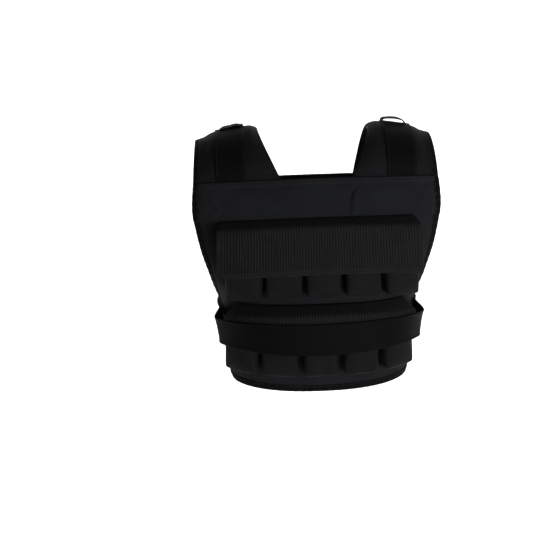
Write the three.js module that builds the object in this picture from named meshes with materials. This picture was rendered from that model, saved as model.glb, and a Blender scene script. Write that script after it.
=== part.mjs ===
// A weighted training vest, in the form that its wearer's body gives it.
//
// Millimetres. +Z is up, +Y is the way the wearer faces and +X is the wearer's right.
// The origin is midway between the two shoulder pads, level with the highest part of their
// undersides, where the vest rests on the shoulders. A drop is a distance below the origin.

import * as THREE from 'three';
import { mergeVertices } from 'three/addons/utils/BufferGeometryUtils.js';

// The trunk that fills the vest
const TRUNK_HALF_WIDTH = 240;
const BACK_DEPTH = 120;
const CHEST_DEPTH = 112;

// The back, from the top down
const BACK_TOP_DROP = 70;
const YOKE_HEIGHT = 55;
const UPPER_POCKET_HEIGHT = 107;
const ROW_SPACE = 16;
const LOWER_POCKET_HEIGHT = 99;
const HEM_MARGIN = 36;
const HEM_CORNER = 38;
const HEM_RISE = 8;
const SHOULDER_SAG = 5.5;
const SIDE_MARGIN = 49;
const PANEL_THICKNESS = 7;
const YOKE_THICKNESS = 2;

// The front
const FRONT_TOP_DROP = 92;
const FRONT_HEIGHT = 300;

// Weight pockets, five to a row, and the ribbed flaps over them
const POCKETS_IN_ROW = 5;
const POCKET_PITCH = 60.2;
const UPPER_POCKET_GAP = 6.6;
const LOWER_POCKET_GAP = 10;
const POCKET_DEPTH = 27;
const POCKET_CORNER = 7;
const POCKET_SEAT = 0.7;
const POCKET_CROWN = 2.7;
const POCKET_FOOT_ROUNDING = 4.3;
const UPPER_ROW_SHIFT = 4;
const LOWER_ROW_SHIFT = -3;
const UPPER_FLAP_OVERHANG = 5;
const LOWER_FLAP_INSET = 6.5;
const FLAP_THICKNESS = 2.6;
const FLAP_ROOF_DROP = 12;
const UPPER_FLAP_LENGTH = 85;
const LOWER_FLAP_LENGTH = 69;
const RIB_PITCH = 4.2;
const RIB_DEPTH = 0.8;
const FLAP_BOW = 0.004;

// Shoulders
const NECK_HALF_AT_BACK = 55;
const NECK_HALF_AT_CREST = 90;
const NECK_HALF_AT_FRONT = 74;
const STRAP_INSET = 22;
const STRAP_WIDTH = 46;
const STRAP_THICKNESS = 2;
const PAD_OUTER_MARGIN = 33;
const PAD_LOFT = 5;
const SHOULDER_FALL = 17;
const SHOULDER_ROUNDNESS = 0.35;
const SHOULDER_REACH = 0.55;
const PAD_RAMP = 0.3;
const KEEPER_WIDTH = 38;
const KEEPER_SHIFT = 4;
const KEEPER_HEIGHT = 8;
const KEEPER_LENGTH = 25;
const KEEPER_THICKNESS = 1.5;

// Belt and edge tape
const BELT_WIDTH = 50;
const BELT_THICKNESS = 2.4;
const BELT_BELOW_FLAP = 24;
const BELT_LAP = 55;
const BELT_LAP_RISE = 44;
const BELT_OVER_FLAP = 3;
const BELT_EASE = 1;
const BELT_RUN_OFF = 38;
const BELT_RISE = 7;
const BELT_RISE_LENGTH = 200;
const TAPE_WIDTH = 10;
const TAPE_THICKNESS = 1;

// Between two pieces that lie on each other, and between cloth and the tape that holds it
const CLEARANCE = 0.4;
const TAPE_CLEARANCE = 0.9;

// The trunk's plan at each level. drop is a share of the back hem's drop, width, back and
// front are shares of TRUNK_HALF_WIDTH, BACK_DEPTH and CHEST_DEPTH, and square is the
// power of the plan's superellipse, 2 for an ellipse and more for squarer corners.
const TRUNK_LEVELS = [
  { drop: 0.05, width: 1.0, back: 0.62, front: 0.64, square: 2.5 },
  { drop: 0.155, width: 1.0, back: 0.78, front: 0.76, square: 2.5 },
  { drop: 0.26, width: 0.985, back: 0.9, front: 0.88, square: 2.5 },
  { drop: 0.41, width: 0.905, back: 0.975, front: 0.97, square: 2.5 },
  { drop: 0.54, width: 0.785, back: 1.0, front: 1.0, square: 2.45 },
  { drop: 0.65, width: 0.675, back: 1.0, front: 1.0, square: 2.4 },
  { drop: 0.76, width: 0.622, back: 0.985, front: 0.98, square: 2.4 },
  { drop: 0.9, width: 0.615, back: 0.935, front: 0.95, square: 2.4 },
  { drop: 1.03, width: 0.615, back: 0.88, front: 0.93, square: 2.4 },
];

// Half widths down a panel, as shares of its height and of its own half width
const BACK_WIDTHS = [
  { down: 0.0, half: 0.985 },
  { down: 0.12, half: 1.005 },
  { down: 0.3, half: 0.97 },
  { down: 0.445, half: 0.937 },
  { down: 0.577, half: 0.95 },
  { down: 0.7, half: 0.98 },
  { down: 0.89, half: 0.95 },
  { down: 1.0, half: 0.935 },
];
const FRONT_WIDTHS = [
  { down: 0.0, half: 0.99 },
  { down: 0.25, half: 0.93 },
  { down: 0.5, half: 0.88 },
  { down: 0.68, half: 0.93 },
  { down: 0.85, half: 0.95 },
  { down: 1.0, half: 0.92 },
];

// A flap's section from its seam to its lower edge: shares of the roof's drop and of the
// drop below it, of the way out over the pockets, and how far the outer face stands above
// and out from the inner one, in shares of the flap's thickness.
const FLAP_STATIONS = [
  { roof: 0.0, face: 0.0, out: 0.0, above: 1.0, proud: 0.0 },
  { roof: 1.0, face: 0.0, out: 1.0, above: 0.8, proud: 0.75 },
  { roof: 1.0, face: 0.1, out: 1.06, above: 0.1, proud: 1.0 },
  { roof: 1.0, face: 1.0, out: 1.1, above: 0.0, proud: 1.0 },
];

// How much of PAD_LOFT the shoulder pad has at its neck edge, beside the strap and under it
const PAD_FULLNESS = { neckEdge: 0.1, innerSide: 0.85, underStrap: 1, outerSide: 0.8, tapedEdge: 0 };

// Levels and widths that follow from the sizes above
const upperFlapDrop = BACK_TOP_DROP + YOKE_HEIGHT;
const pocketTopBelowFlap = FLAP_ROOF_DROP + FLAP_THICKNESS + 2 * CLEARANCE;
const upperPocketDrop = upperFlapDrop + pocketTopBelowFlap;
const lowerFlapDrop = upperPocketDrop + UPPER_POCKET_HEIGHT + ROW_SPACE;
const lowerPocketDrop = lowerFlapDrop + pocketTopBelowFlap;
const backHemDrop = lowerPocketDrop + LOWER_POCKET_HEIGHT + HEM_MARGIN;
const beltDrop = lowerFlapDrop + BELT_BELOW_FLAP;
const upperRowHalf = (POCKETS_IN_ROW * POCKET_PITCH - UPPER_POCKET_GAP) / 2;
const lowerRowHalf = (POCKETS_IN_ROW * POCKET_PITCH - LOWER_POCKET_GAP) / 2;
const upperFlapHalf = upperRowHalf + UPPER_FLAP_OVERHANG;
const lowerFlapHalf = lowerRowHalf - LOWER_FLAP_INSET;
const backHalfWidth = upperFlapHalf + SIDE_MARGIN;
const strapInner = NECK_HALF_AT_CREST + STRAP_INSET;
const strapOuter = strapInner + STRAP_WIDTH;
const frontHalfWidth = strapOuter + PAD_OUTER_MARGIN;
const onPanel = PANEL_THICKNESS + CLEARANCE;
const overPockets = onPanel + POCKET_DEPTH + CLEARANCE;
const tapeTop = PANEL_THICKNESS + TAPE_CLEARANCE + TAPE_THICKNESS;

// Facets
const BACK_COLUMNS = 24;
const BACK_ROWS = 14;
const FRONT_COLUMNS = 20;
const FRONT_ROWS = 8;
const CORNER_ROWS = 5;
const PAD_ROWS = 12;
const YOKE_ROWS = 3;
const POCKET_CELLS = { columns: 4, rows: 4, layers: 2 };
const KEEPER_STATIONS = 3;
const CURVE_SEGMENTS = 7;
const STRAP_COLUMNS = 3;
const BELT_COLUMNS = 68;
const FLAP_LINING_STEP = 15;

// How far off a face is felt for its slope, and the same on a shoulder, in columns and along
const NEARBY = 0.5;
const NEARBY_COLUMN = 0.25;
const NEARBY_ALONG = 0.004;

const cloth = { color: 0x1d1d1f, roughness: 0.86, metalness: 0 };
const padCloth = { color: 0x17171a, roughness: 0.84, metalness: 0 };
const ribbed = { color: 0x1c1c1b, roughness: 0.9, metalness: 0 };
const webbing = { color: 0x101012, roughness: 0.75, metalness: 0 };
const tape = { color: 0x161618, roughness: 0.8, metalness: 0 };

const group = new THREE.Group();

function curveOf(rows, position, columns) {
  const at = rows.map((row) => row[position]);
  const values = rows.flatMap((row) => columns.map((column) => row[column]));
  return new THREE.CubicInterpolant(at, values, columns.length);
}

const trunkLevels = curveOf(TRUNK_LEVELS, 'drop', ['width', 'back', 'front', 'square']);

// Half of the trunk's plan at one level, from the centre of the back to that of the chest
class TrunkOutline extends THREE.Curve {
  constructor(drop) {
    super();
    const [width, back, front, square] = trunkLevels.evaluate(drop / backHemDrop);
    this.halfWidth = width * TRUNK_HALF_WIDTH;
    this.back = back * BACK_DEPTH;
    this.front = front * CHEST_DEPTH;
    this.square = square;
  }

  getPoint(share, target = new THREE.Vector2()) {
    const angle = Math.PI * share;
    const depth = angle < Math.PI / 2 ? this.back : this.front;
    const across = Math.abs(Math.sin(angle)) / this.halfWidth;
    const along = Math.abs(Math.cos(angle)) / depth;
    const radius = (across ** this.square + along ** this.square) ** (-1 / this.square);
    return target.set(radius * Math.sin(angle), -radius * Math.cos(angle));
  }
}

const outlines = new Map();

function trunkOutline(drop) {
  const key = drop.toFixed(4);
  if (!outlines.has(key)) {
    outlines.set(key, new TrunkOutline(drop));
  }
  return outlines.get(key);
}

// A point on the trunk, by its distance round it from the centre of the back
function trunkFace(across, drop) {
  const outline = trunkOutline(drop);
  const half = outline.getLength();
  const round = Math.abs(across) > half ? across - Math.sign(across) * 2 * half : across;
  const at = outline.getPointAt(Math.abs(round) / half);
  return new THREE.Vector3(Math.sign(round) * at.x, at.y, -drop);
}

// The same, by its distance from the centre of the chest
function frontFace(across, drop) {
  return trunkFace(trunkOutline(drop).getLength() + across, drop);
}

// How far a level line of the back sags towards the arms, which it does down to the belt
function shoulderSag(share, drop) {
  return SHOULDER_SAG * share ** 2 * (1 - THREE.MathUtils.smoothstep(drop, upperFlapDrop, beltDrop));
}

function backFace(across, drop) {
  return trunkFace(across, drop + shoulderSag(across / backHalfWidth, drop));
}

// A point that stands out from a face that runs across and down
function standOut(face, across, drop, out) {
  const sideways = face(across + NEARBY, drop).sub(face(across - NEARBY, drop));
  const down = face(across, drop + NEARBY).sub(face(across, drop - NEARBY));
  return face(across, drop).addScaledVector(down.cross(sideways).normalize(), out);
}

// Moves a flat piece's vertices to their places, as one closed body that faces outwards
function formed(flat, place) {
  const position = flat.getAttribute('position');
  const vertex = new THREE.Vector3();
  for (let i = 0; i < position.count; i += 1) {
    vertex.fromBufferAttribute(position, i);
    position.setXYZ(i, ...place(vertex.x, vertex.y, vertex.z).toArray());
  }
  flat.deleteAttribute('normal');
  flat.deleteAttribute('uv');
  const body = mergeVertices(flat, 1e-4);
  faceOutwards(body);
  body.computeVertexNormals();
  return body;
}

function faceOutwards(body) {
  const position = body.getAttribute('position');
  const index = body.getIndex();
  const corners = [new THREE.Vector3(), new THREE.Vector3(), new THREE.Vector3()];
  let volume = 0;
  for (let i = 0; i < index.count; i += 3) {
    corners.forEach((corner, k) => corner.fromBufferAttribute(position, index.getX(i + k)));
    volume += corners[0].dot(corners[1].clone().cross(corners[2]));
  }
  if (volume > 0) {
    return;
  }
  for (let i = 0; i < index.count; i += 3) {
    const first = index.getX(i);
    index.setX(i, index.getX(i + 1));
    index.setX(i + 1, first);
  }
}

// A sheet of cells. place gets its column, its row and 0 or 1 for its inner or outer face.
function sheet(columns, rows, place) {
  const flat = new THREE.BoxGeometry(columns, rows, 1, columns, rows, 1);
  return formed(flat, (x, y, z) => place(
    Math.round(x + columns / 2),
    Math.round(rows / 2 - y),
    Math.round(z + 0.5),
  ));
}

// An outline carried through a number of stations. place gets its x, y and station.
function carried(outline, stations, place) {
  const flat = new THREE.ExtrudeGeometry(outline, {
    depth: stations - 1,
    steps: stations - 1,
    bevelEnabled: false,
    curveSegments: CURVE_SEGMENTS,
  });
  return formed(flat, (x, y, z) => place(x, y, Math.round(z)));
}

function add(name, geometry, finish) {
  const mesh = new THREE.Mesh(geometry, new THREE.MeshStandardMaterial(finish));
  mesh.name = name;
  group.add(mesh);
}

// A panel's levels, from its straight top down its sides and round its lower corners
function panelLevels(panel) {
  const widths = curveOf(panel.widths, 'down', ['half']);
  const halfAt = (down) => widths.evaluate(down)[0] * panel.halfWidth;
  const corner = HEM_CORNER / panel.height;
  const levels = [];
  for (let i = 0; i < panel.rows; i += 1) {
    const down = (1 - corner) * i / panel.rows;
    levels.push({ down, half: halfAt(down) });
  }
  for (let i = 0; i <= CORNER_ROWS; i += 1) {
    const turn = Math.PI / 2 * i / CORNER_ROWS;
    const down = 1 - corner * (1 - Math.sin(turn));
    levels.push({ down, half: halfAt(down) - HEM_CORNER * (1 - Math.cos(turn)) });
  }
  return levels;
}

// Where a panel's column and level lie. The outermost column is the width of the edge tape.
function panelPlace(panel, column, level) {
  const { down, half } = panel.levels[level];
  const inColumns = panel.columns / 2;
  const side = column - inColumns - 1;
  const inner = (half - TAPE_WIDTH) * Math.abs(side) / inColumns;
  const across = Math.sign(side) * (Math.abs(side) > inColumns ? half : inner);
  const rise = HEM_RISE * (across / panel.halfWidth) ** 2 * down ** 3;
  return { across, drop: panel.top + panel.height * down - rise };
}

function makePanel(panel) {
  return sheet(panel.columns + 2, panel.levels.length - 1, (column, row, outer) => {
    const { across, drop } = panelPlace(panel, column, row);
    return standOut(panel.face, across, drop, outer * PANEL_THICKNESS);
  });
}

// The tape's section: a channel that holds the edge, with inward distance and stand out
function tapeChannel() {
  const flange = TAPE_WIDTH - TAPE_THICKNESS;
  const back = -TAPE_CLEARANCE - TAPE_THICKNESS;
  const inside = PANEL_THICKNESS + TAPE_CLEARANCE;
  const channel = new THREE.Shape();
  channel.moveTo(back, back);
  channel.lineTo(flange, back);
  channel.lineTo(flange, -TAPE_CLEARANCE);
  channel.lineTo(-TAPE_CLEARANCE, -TAPE_CLEARANCE);
  channel.lineTo(-TAPE_CLEARANCE, inside);
  channel.lineTo(flange, inside);
  channel.lineTo(flange, tapeTop);
  channel.lineTo(back, tapeTop);
  channel.closePath();
  return channel;
}

// The tape round a panel: down one side, along the hem and up the other side
function makePanelTape(panel) {
  const lastColumn = panel.columns + 2;
  const lastLevel = panel.levels.length - 1;
  const path = [];
  for (let level = 0; level < lastLevel; level += 1) {
    path.push(panelPlace(panel, 0, level));
  }
  for (let column = 0; column <= lastColumn; column += 1) {
    path.push(panelPlace(panel, column, lastLevel));
  }
  for (let level = lastLevel - 1; level >= 0; level -= 1) {
    path.push(panelPlace(panel, lastColumn, level));
  }
  return carried(tapeChannel(), path.length, (inward, out, station) => {
    const here = path[station];
    const before = path[Math.max(station - 1, 0)];
    const after = path[Math.min(station + 1, path.length - 1)];
    const run = new THREE.Vector2(after.across - before.across, after.drop - before.drop);
    if (before === here || after === here) {
      run.x = 0;
    }
    run.normalize();
    const across = here.across + inward * run.y;
    const drop = here.drop - inward * run.x;
    return standOut(panel.face, across, drop, out);
  });
}

const backPanel = {
  face: backFace,
  top: BACK_TOP_DROP,
  height: backHemDrop - BACK_TOP_DROP,
  halfWidth: backHalfWidth,
  widths: BACK_WIDTHS,
  columns: BACK_COLUMNS,
  rows: BACK_ROWS,
};
backPanel.levels = panelLevels(backPanel);

const frontPanel = {
  face: frontFace,
  top: FRONT_TOP_DROP,
  height: FRONT_HEIGHT,
  halfWidth: frontHalfWidth,
  widths: FRONT_WIDTHS,
  columns: FRONT_COLUMNS,
  rows: FRONT_ROWS,
};
frontPanel.levels = panelLevels(frontPanel);

// The upper back's outer cloth, on the panel, between the edge tapes and down to the flap
function makeYoke() {
  const bottom = upperFlapDrop - CLEARANCE;
  const widths = curveOf(BACK_WIDTHS, 'down', ['half']);
  return sheet(BACK_COLUMNS, YOKE_ROWS, (column, row, outer) => {
    const drop = BACK_TOP_DROP + (bottom - BACK_TOP_DROP) * row / YOKE_ROWS;
    const share = widths.evaluate((drop - BACK_TOP_DROP) / backPanel.height)[0];
    const half = share * backHalfWidth - TAPE_WIDTH;
    const across = half * (2 * column / BACK_COLUMNS - 1);
    return standOut(backFace, across, drop, onPanel + outer * YOKE_THICKNESS);
  });
}

// A filled pocket with a crowned front, sides that draw in and rounded lower corners
function makePocket(row, place) {
  const { columns, rows, layers } = POCKET_CELLS;
  const middle = row.shift + (place - (POCKETS_IN_ROW - 1) / 2) * POCKET_PITCH;
  const halfWidth = (POCKET_PITCH - row.gap) / 2;
  const seat = onPanel + POCKET_SEAT;
  const flat = new THREE.BoxGeometry(2, 1, 1, columns, rows, layers);
  return formed(flat, (side, up, depth) => {
    const down = 0.5 - up;
    const forward = depth + 0.5;
    const foot = Math.max(0, down * rows - rows + 1);
    const across = middle + side * (halfWidth - POCKET_CORNER * forward * (1 + foot) / 4);
    const drop = row.drop + down * row.height - POCKET_CORNER / 2 * foot * side ** 2 * forward;
    const crown = POCKET_CROWN * side ** 2 + POCKET_FOOT_ROUNDING * foot;
    return standOut(backFace, across, drop, seat + (POCKET_DEPTH - POCKET_SEAT - crown) * forward);
  });
}

// A flap's plan: ribs on the outer face, y from 0 inside to 1 on top of a rib. It is laid
// out on a bow, so that the faces that close its ends run straight through the cloth.
function bow(across) {
  return -FLAP_BOW * across ** 2;
}

function flapOutline(half) {
  const outline = new THREE.Shape();
  const ribs = Math.round(2 * half / RIB_PITCH);
  const panes = Math.round(2 * half / FLAP_LINING_STEP);
  const groove = 1 - RIB_DEPTH / FLAP_THICKNESS;
  outline.moveTo(-half, bow(half));
  for (let i = 0; i <= 2 * ribs; i += 1) {
    const across = half * (i / ribs - 1);
    outline.lineTo(across, bow(across) + (i % 2 ? 1 : groove));
  }
  for (let i = panes; i > 0; i -= 1) {
    const across = half * (2 * i / panes - 1);
    outline.lineTo(across, bow(across));
  }
  outline.closePath();
  return outline;
}

function makeFlap(half, flapDrop, length) {
  return carried(flapOutline(half), FLAP_STATIONS.length, (across, y, station) => {
    const outer = y - bow(across);
    const { roof, face, out, above, proud } = FLAP_STATIONS[station];
    const fall = FLAP_ROOF_DROP * roof + (length - FLAP_ROOF_DROP - FLAP_THICKNESS) * face;
    const drop = flapDrop + FLAP_THICKNESS * (1 - above * outer) + fall;
    const reach = onPanel + (overPockets - onPanel) * Math.max(out, roof) + FLAP_THICKNESS * proud * outer;
    return standOut(backFace, across, drop, reach);
  });
}

// The belt's inner face: out over the pockets, in on the sides, and lapped at the chest
function beltReach(across, half) {
  const onSides = tapeTop + BELT_EASE;
  const overFlap = overPockets + FLAP_THICKNESS + CLEARANCE + BELT_OVER_FLAP;
  const runOff = THREE.MathUtils.smoothstep(Math.abs(across), lowerRowHalf, lowerRowHalf + BELT_RUN_OFF);
  const lapFrom = half - BELT_LAP - BELT_LAP_RISE;
  const lapped = THREE.MathUtils.smoothstep(across, lapFrom, lapFrom + BELT_LAP_RISE);
  const lap = (BELT_THICKNESS + 2 * CLEARANCE) * lapped;
  return overFlap + (onSides - overFlap) * runOff + lap;
}

function makeBelt() {
  const rows = 1;
  const middleHalf = trunkOutline(beltDrop + BELT_WIDTH / 2).getLength();
  return sheet(BELT_COLUMNS, rows, (column, row, outer) => {
    const share = 2 * column / BELT_COLUMNS - 1;
    const across = share * (middleHalf + BELT_LAP);
    const rise = BELT_RISE * THREE.MathUtils.smoothstep(Math.abs(across), 0, BELT_RISE_LENGTH);
    const drop = beltDrop + BELT_WIDTH * row / rows - rise;
    const half = trunkOutline(drop).getLength();
    const out = beltReach(across, middleHalf) + outer * BELT_THICKNESS;
    return standOut(trunkFace, across * half / middleHalf, drop, out);
  });
}

// One shoulder, the right. Its columns run from the neck edge to the arm edge, with the
// strap from STRAP_COLUMN on and the edge tape over the last one. along runs from the back
// seam, -1, over the crest, 0, to the front seam, 1.
const STRAP_COLUMN = 2;
const PAD_LAST_COLUMN = STRAP_COLUMN + STRAP_COLUMNS + 3;

function seamEnd(panel) {
  const { half } = panel.levels[0];
  return Math.abs(panel.face(half, panel.top).x);
}

function seamDropAt(x, front) {
  return front ? FRONT_TOP_DROP : BACK_TOP_DROP + shoulderSag(x / armAtBack, BACK_TOP_DROP);
}

const armAtBack = seamEnd(backPanel);
const armAtFront = seamEnd(frontPanel);
const armAtCrest = strapOuter + PAD_OUTER_MARGIN;

function padLines(neck, arm) {
  const taped = arm - TAPE_WIDTH;
  const lines = [neck, (neck + strapInner) / 2];
  for (let i = 0; i <= STRAP_COLUMNS; i += 1) {
    lines.push(strapInner + STRAP_WIDTH * i / STRAP_COLUMNS);
  }
  lines.push((strapOuter + taped) / 2, taped, arm);
  return lines;
}

const linesAtBack = padLines(NECK_HALF_AT_BACK, armAtBack);
const linesAtCrest = padLines(NECK_HALF_AT_CREST, armAtCrest);
const linesAtFront = padLines(NECK_HALF_AT_FRONT, armAtFront);
const padFullness = [
  PAD_FULLNESS.neckEdge,
  PAD_FULLNESS.innerSide,
  ...new Array(STRAP_COLUMNS + 1).fill(PAD_FULLNESS.underStrap),
  PAD_FULLNESS.outerSide,
  PAD_FULLNESS.tapedEdge,
  PAD_FULLNESS.tapedEdge,
];

function between(values, at) {
  const low = THREE.MathUtils.clamp(Math.floor(at), 0, values.length - 2);
  return values[low] + (values[low + 1] - values[low]) * (at - low);
}

// How far the trunk's face lies from the side line at a distance x from the middle
function trunkDepth(x, drop, front) {
  const { halfWidth, back, front: chest, square } = trunkOutline(drop);
  const depth = front ? chest : -back;
  return depth * (1 - (x / halfWidth) ** square) ** (1 / square);
}

function crestHeight(x) {
  const share = (x - NECK_HALF_AT_CREST) / (armAtCrest - NECK_HALF_AT_CREST);
  return -SHOULDER_FALL * ((1 - SHOULDER_ROUNDNESS) * share + SHOULDER_ROUNDNESS * share * Math.abs(share));
}

function shoulderFace(column, along) {
  const front = along > 0;
  const seamX = between(front ? linesAtFront : linesAtBack, column);
  const seamDrop = seamDropAt(seamX, front);
  const crestX = between(linesAtCrest, column);
  const rise = 1 - Math.abs(along);
  const seamY = trunkDepth(seamX, seamDrop, front);
  const lean = trunkDepth(seamX, seamDrop - 1, front) - seamY;
  const crestZ = crestHeight(crestX);
  const climb = SHOULDER_REACH * (crestZ + seamDrop);
  const arch = new THREE.CubicBezierCurve(
    new THREE.Vector2(seamY, -seamDrop),
    new THREE.Vector2(seamY + lean * climb, -seamDrop + climb),
    new THREE.Vector2(SHOULDER_REACH * seamY, crestZ),
    new THREE.Vector2(0, crestZ),
  );
  const at = arch.getPoint(rise);
  const x = seamX + (crestX - seamX) * Math.sin(Math.PI / 2 * rise);
  return new THREE.Vector3(x, at.x, at.y);
}

function onShoulder(column, along, out) {
  const sideways = shoulderFace(column + NEARBY_COLUMN, along)
    .sub(shoulderFace(column - NEARBY_COLUMN, along));
  const onwards = shoulderFace(column, along + NEARBY_ALONG)
    .sub(shoulderFace(column, along - NEARBY_ALONG));
  return shoulderFace(column, along).addScaledVector(sideways.cross(onwards).normalize(), out);
}

function padTop(column, along) {
  const full = THREE.MathUtils.smoothstep(1 - Math.abs(along), 0, PAD_RAMP);
  return PANEL_THICKNESS + PAD_LOFT * between(padFullness, column) * full;
}

const padEnd = 1 - 0.5 * CLEARANCE / BACK_TOP_DROP;

function padStation(row) {
  return padEnd * (2 * row / PAD_ROWS - 1);
}

function makePad(side) {
  return sheet(PAD_LAST_COLUMN, PAD_ROWS, (column, row, outer) => {
    const along = padStation(row);
    return mirrored(onShoulder(column, along, outer * padTop(column, along)), side);
  });
}

function mirrored(point, side) {
  point.x *= side;
  return point;
}

function makeStrap(side) {
  return sheet(STRAP_COLUMNS, PAD_ROWS, (column, row, outer) => {
    const along = padStation(row);
    const padColumn = STRAP_COLUMN + column;
    const out = padTop(padColumn, along) + CLEARANCE + outer * STRAP_THICKNESS;
    return mirrored(onShoulder(padColumn, along, out), side);
  });
}

function makePadTape(side) {
  return carried(tapeChannel(), PAD_ROWS + 1, (inward, out, station) => {
    const column = PAD_LAST_COLUMN - inward / TAPE_WIDTH;
    return mirrored(onShoulder(column, padStation(station), out), side);
  });
}

// A thin loop that stands over the strap on top of the shoulder
function makeKeeper(side) {
  const arch = new THREE.Shape();
  const half = KEEPER_WIDTH / 2;
  const inside = half - KEEPER_THICKNESS;
  arch.moveTo(half, 0);
  arch.absellipse(0, 0, half, KEEPER_HEIGHT, 0, Math.PI, false);
  arch.lineTo(-inside, 0);
  arch.absellipse(0, 0, inside, KEEPER_HEIGHT - KEEPER_THICKNESS, Math.PI, 0, true);
  arch.closePath();
  const middleColumn = STRAP_COLUMN + STRAP_COLUMNS / 2;
  const nearBack = shoulderFace(middleColumn, -NEARBY_ALONG);
  const pace = shoulderFace(middleColumn, NEARBY_ALONG).distanceTo(nearBack) / (2 * NEARBY_ALONG);
  return carried(arch, KEEPER_STATIONS, (across, height, station) => {
    const column = middleColumn + (across - KEEPER_SHIFT) * STRAP_COLUMNS / STRAP_WIDTH;
    const along = KEEPER_LENGTH / pace * (station / (KEEPER_STATIONS - 1) - 0.5);
    const foot = padTop(middleColumn, along) + STRAP_THICKNESS + 2 * CLEARANCE;
    return mirrored(onShoulder(column, along, foot + height), side);
  });
}

add('back_panel', makePanel(backPanel), cloth);
add('back_binding', makePanelTape(backPanel), tape);
add('back_yoke', makeYoke(), cloth);
add('front_panel', makePanel(frontPanel), cloth);
add('front_binding', makePanelTape(frontPanel), tape);

const pocketRows = [
  {
    name: 'upper',
    drop: upperPocketDrop,
    height: UPPER_POCKET_HEIGHT,
    gap: UPPER_POCKET_GAP,
    shift: UPPER_ROW_SHIFT,
  },
  {
    name: 'lower',
    drop: lowerPocketDrop,
    height: LOWER_POCKET_HEIGHT,
    gap: LOWER_POCKET_GAP,
    shift: LOWER_ROW_SHIFT,
  },
];
for (const row of pocketRows) {
  for (let place = 0; place < POCKETS_IN_ROW; place += 1) {
    add(`${row.name}_pocket_${place + 1}`, makePocket(row, place), cloth);
  }
}
add('upper_flap', makeFlap(upperFlapHalf, upperFlapDrop, UPPER_FLAP_LENGTH), ribbed);
add('lower_flap', makeFlap(lowerFlapHalf, lowerFlapDrop, LOWER_FLAP_LENGTH), ribbed);
add('belt', makeBelt(), webbing);

for (const [name, side] of [['right', 1], ['left', -1]]) {
  add(`shoulder_pad_${name}`, makePad(side), padCloth);
  add(`shoulder_strap_${name}`, makeStrap(side), webbing);
  add(`pad_binding_${name}`, makePadTape(side), tape);
  add(`strap_keeper_${name}`, makeKeeper(side), webbing);
}

export default group;
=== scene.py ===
"""A weighted training vest, as its wearer's body forms it, seen from the back.

Sizes are in millimetres, and a drop is a distance below the shoulders. Each section makes one piece or one
group of like pieces, in the order in which they are cut and sewn.
"""

import math

import bmesh
import bpy
import numpy as np
from mathutils import Matrix, Vector, noise


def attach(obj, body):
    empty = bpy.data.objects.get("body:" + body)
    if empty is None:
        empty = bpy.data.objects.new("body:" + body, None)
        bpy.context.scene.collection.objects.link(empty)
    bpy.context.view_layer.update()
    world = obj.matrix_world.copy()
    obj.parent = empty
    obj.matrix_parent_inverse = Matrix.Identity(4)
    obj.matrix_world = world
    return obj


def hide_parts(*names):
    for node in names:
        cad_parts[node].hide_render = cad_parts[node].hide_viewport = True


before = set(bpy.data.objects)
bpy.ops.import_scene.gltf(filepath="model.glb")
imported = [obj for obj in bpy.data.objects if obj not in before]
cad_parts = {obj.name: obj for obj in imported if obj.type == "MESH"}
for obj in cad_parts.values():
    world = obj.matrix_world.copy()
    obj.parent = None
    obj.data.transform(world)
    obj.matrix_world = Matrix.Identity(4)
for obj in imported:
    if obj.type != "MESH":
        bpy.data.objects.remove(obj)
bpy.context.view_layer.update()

# The back panel
# Two layers of black woven nylon over thin foam, with a straight top, drawn-in sides and round lower corners.
# It and what is sewn to it take their form from the plan of the wearer's trunk at their level.
MM = 0.001
TRUNK_HALF_WIDTH = 240
BACK_DEPTH = 120
CHEST_DEPTH = 112
BACK_TOP_DROP = 70
UPPER_FLAP_DROP = 125
UPPER_POCKET_DROP = 140.4
LOWER_FLAP_DROP = 263.4
LOWER_POCKET_DROP = 278.8
BELT_DROP = 287.4
HEM_DROP = 413.8
BACK_HALF_WIDTH = 201.2
HEM_CORNER = 38
HEM_RISE = 8
SHOULDER_SAG = 5.5
PANEL_THICKNESS = 7
EDGE_THICKNESS = 5.2
EDGE_ROLL = 16
QUILT_SWELL = 0.9
QUILT_LENGTH = 46
SEAM_PUCKER = 0.35
PUCKER_LENGTH = 12
PUCKER_REACH = 9
FOAM_RISE = (2, 30)
BACK_CELLS = (110, 96)
PLAN_TURNS = 1200
PLAN_POINTS = 900
PLAN_LEVELS = 260
NOISE_SPREAD = 1.6
CLOTH_HEX = 0x262729
CLOTH_SHADE_HEX = 0x1B1C1E
CLOTH_THREAD = 1.1
NYLON_SPECULAR = 0.06
NYLON_SHEEN_ROUGHNESS = 0.45
NYLON_BUMP = 0.6
ROUGHNESS_DRIFT = 0.05

# A level's drop is a share of the hem's. Its width, back and front are shares of the sizes above, and square
# is the power of the plan's superellipse, 2 for an ellipse and more for squarer corners.
TRUNK_LEVELS = (
    # drop, width, back, front, square
    (0.05, 1.0, 0.62, 0.64, 2.5),
    (0.155, 1.0, 0.78, 0.76, 2.5),
    (0.26, 0.985, 0.9, 0.88, 2.5),
    (0.41, 0.905, 0.975, 0.97, 2.5),
    (0.54, 0.785, 1.0, 1.0, 2.45),
    (0.65, 0.675, 1.0, 1.0, 2.4),
    (0.76, 0.622, 0.985, 0.98, 2.4),
    (0.9, 0.615, 0.935, 0.95, 2.4),
    (1.03, 0.615, 0.88, 0.93, 2.4),
)
BACK_WIDTHS = (
    # share of the panel's height, share of its half width
    (0.0, 0.985),
    (0.12, 1.005),
    (0.3, 0.97),
    (0.445, 0.937),
    (0.577, 0.95),
    (0.7, 0.98),
    (0.89, 0.95),
    (1.0, 0.935),
)


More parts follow.
